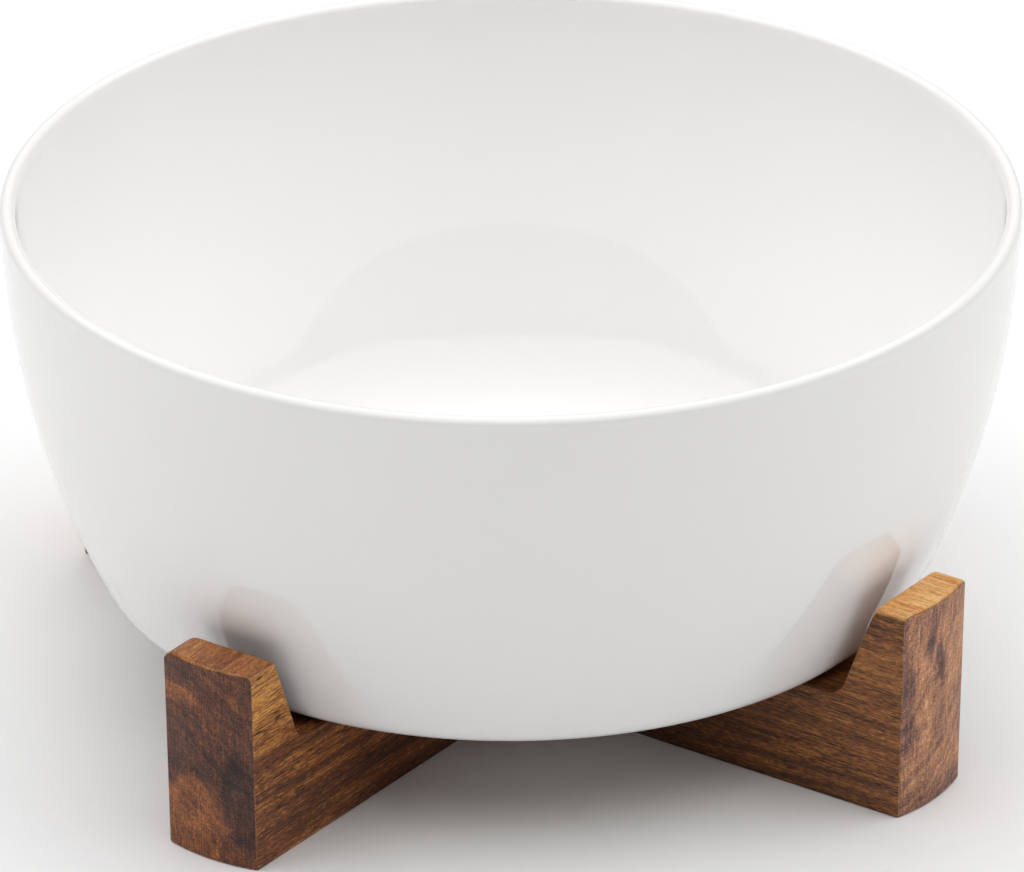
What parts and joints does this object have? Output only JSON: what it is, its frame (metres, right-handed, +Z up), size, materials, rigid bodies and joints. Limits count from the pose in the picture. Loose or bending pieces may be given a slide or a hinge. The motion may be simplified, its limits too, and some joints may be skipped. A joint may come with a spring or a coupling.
{
  "type": "chip and dip server",
  "caption": "Deep round glazed stoneware serving bowl standing in a stand of crossed, half-lapped acacia boards whose ends rise round it as horns. The bowl lifts off.",
  "frame": {"origin": "middle of the crossing of the two boards, on the surface that the stand rests on", "axes": "+Z up along the bowl's axis, +X along the upper board, +Y along the lower board"},
  "size_m": [0.2586, 0.2586, 0.1304],
  "materials": {
    "white_glaze": "glossy white glaze over stoneware",
    "acacia": "oiled satin acacia"
  },
  "bodies": {
    "stand": {"lower_board": "acacia", "upper_board": "acacia"},
    "bowl": {"bowl": "white_glaze"}
  },
  "joints": [
    {"name": "bowl_lift", "type": "slide", "parent": "stand", "child": "bowl", "axis": [0, 0, 1], "range_m": [0, 0.06]}
  ]
}
